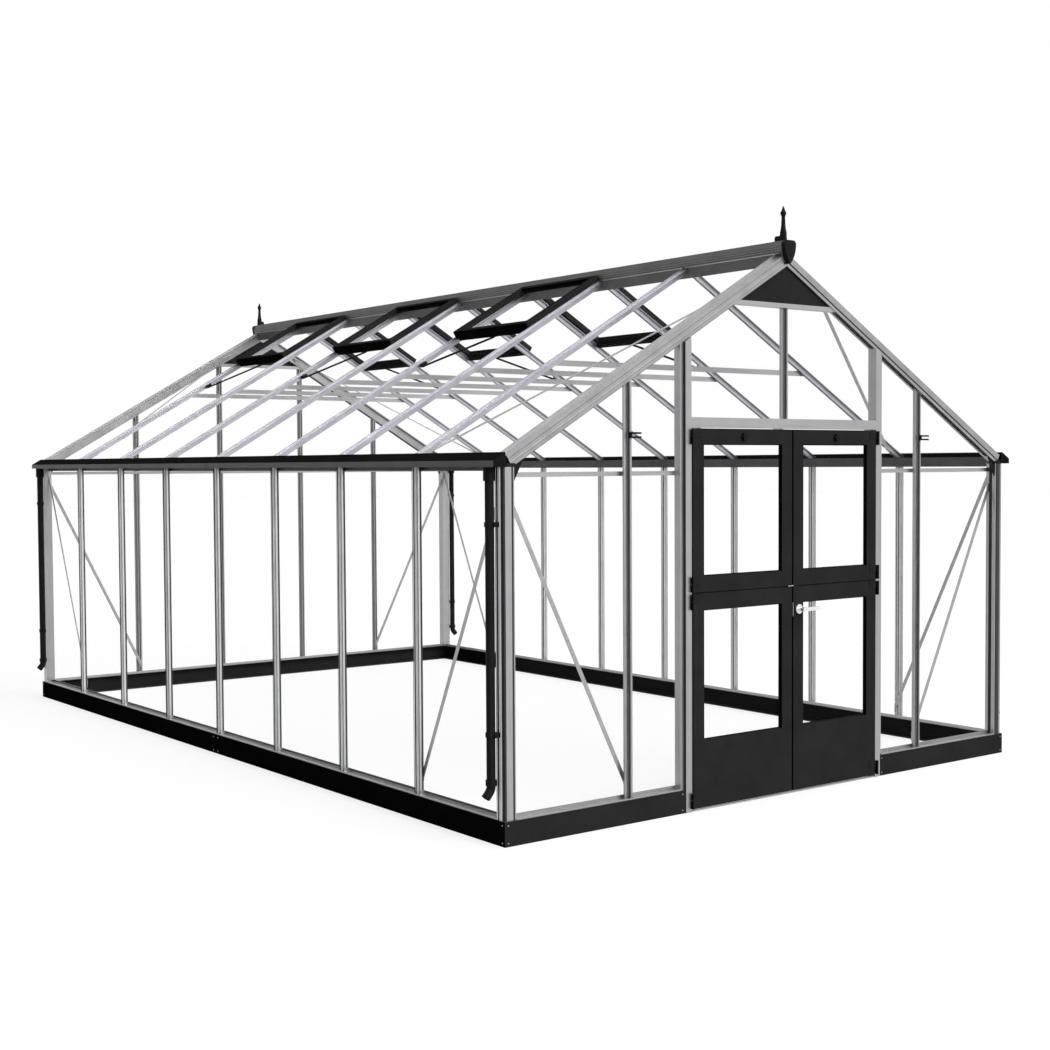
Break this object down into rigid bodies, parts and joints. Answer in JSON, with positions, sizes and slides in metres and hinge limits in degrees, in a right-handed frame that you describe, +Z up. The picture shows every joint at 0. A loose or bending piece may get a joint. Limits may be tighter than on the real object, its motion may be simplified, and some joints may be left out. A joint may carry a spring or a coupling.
{
  "type": "glass greenhouse with split double doors",
  "caption": "Aluminium glass greenhouse on a black steel base, with gutters, roof windows and split double doors.",
  "frame": {"origin": "ground level, under the middle of the building", "axes": "+Z up, X across the front gable, doors face -Y"},
  "size_m": [3.8184, 5.955, 3.062],
  "materials": {
    "aluminium": "mill finish",
    "black_coat": "satin black powder coat",
    "steel_black": "satin black powder coat",
    "black_plastic": "matte black",
    "satin_metal": "satin",
    "glass": "clear"
  },
  "bodies": {
    "frame": {"base_sides": "steel_black", "base_ends": "steel_black", "base_splices": "steel_black", "side_sills": "aluminium", "gable_sills": "aluminium", "corner_posts": "aluminium", "wall_bars": "aluminium", "back_gable_bars": "aluminium", "front_gable_bars": "aluminium", "door_posts": "aluminium", "door_header": "aluminium", "threshold": "aluminium", "gable_rafters": "aluminium", "roof_bars": "aluminium", "gable_rails": "aluminium", "gable_transoms": "aluminium", "wall_braces": "aluminium", "roof_braces": "aluminium", "cross_ties": "aluminium", "ridge": "black_coat", "ridge_end_caps": "black_plastic", "finials": "black_plastic", "gable_plates": "black_coat", "eave_gussets": "black_plastic", "gutters": "black_coat", "downpipes": "black_plastic", "roof_window_frames": "black_coat", "window_sills": "black_coat", "window_stays": "black_plastic", "door_hinges": "black_coat", "roof_window_glass": "glass", "wall_glass": "glass", "roof_glass": "glass", "gable_glass": "glass"},
    "lower_left_door": {"lower_left_door_frame": "black_coat", "lower_left_door_glass": "glass"},
    "lower_right_door": {"lower_right_door_frame": "black_coat", "lower_right_door_glass": "glass", "door_handle": "satin_metal"},
    "upper_left_door": {"upper_left_door_frame": "black_coat", "upper_left_door_glass": "glass", "upper_left_door_knob": "black_plastic"},
    "upper_right_door": {"upper_right_door_frame": "black_coat", "upper_right_door_glass": "glass", "upper_right_door_knob": "black_plastic"}
  },
  "joints": [
    {"name": "lower_left_door_hinge", "type": "hinge", "parent": "frame", "child": "lower_left_door", "pos_m": [-0.692, -2.96, 0.5512], "axis": [0, 0, -1], "range_deg": [0, 180]},
    {"name": "lower_right_door_hinge", "type": "hinge", "parent": "frame", "child": "lower_right_door", "pos_m": [0.692, -2.96, 0.5512], "axis": [0, 0, 1], "range_deg": [0, 180]},
    {"name": "upper_left_door_hinge", "type": "hinge", "parent": "frame", "child": "upper_left_door", "pos_m": [-0.692, -2.96, 1.4993], "axis": [0, 0, -1], "range_deg": [0, 180]},
    {"name": "upper_right_door_hinge", "type": "hinge", "parent": "frame", "child": "upper_right_door", "pos_m": [0.692, -2.96, 1.4993], "axis": [0, 0, 1], "range_deg": [0, 180]}
  ]
}
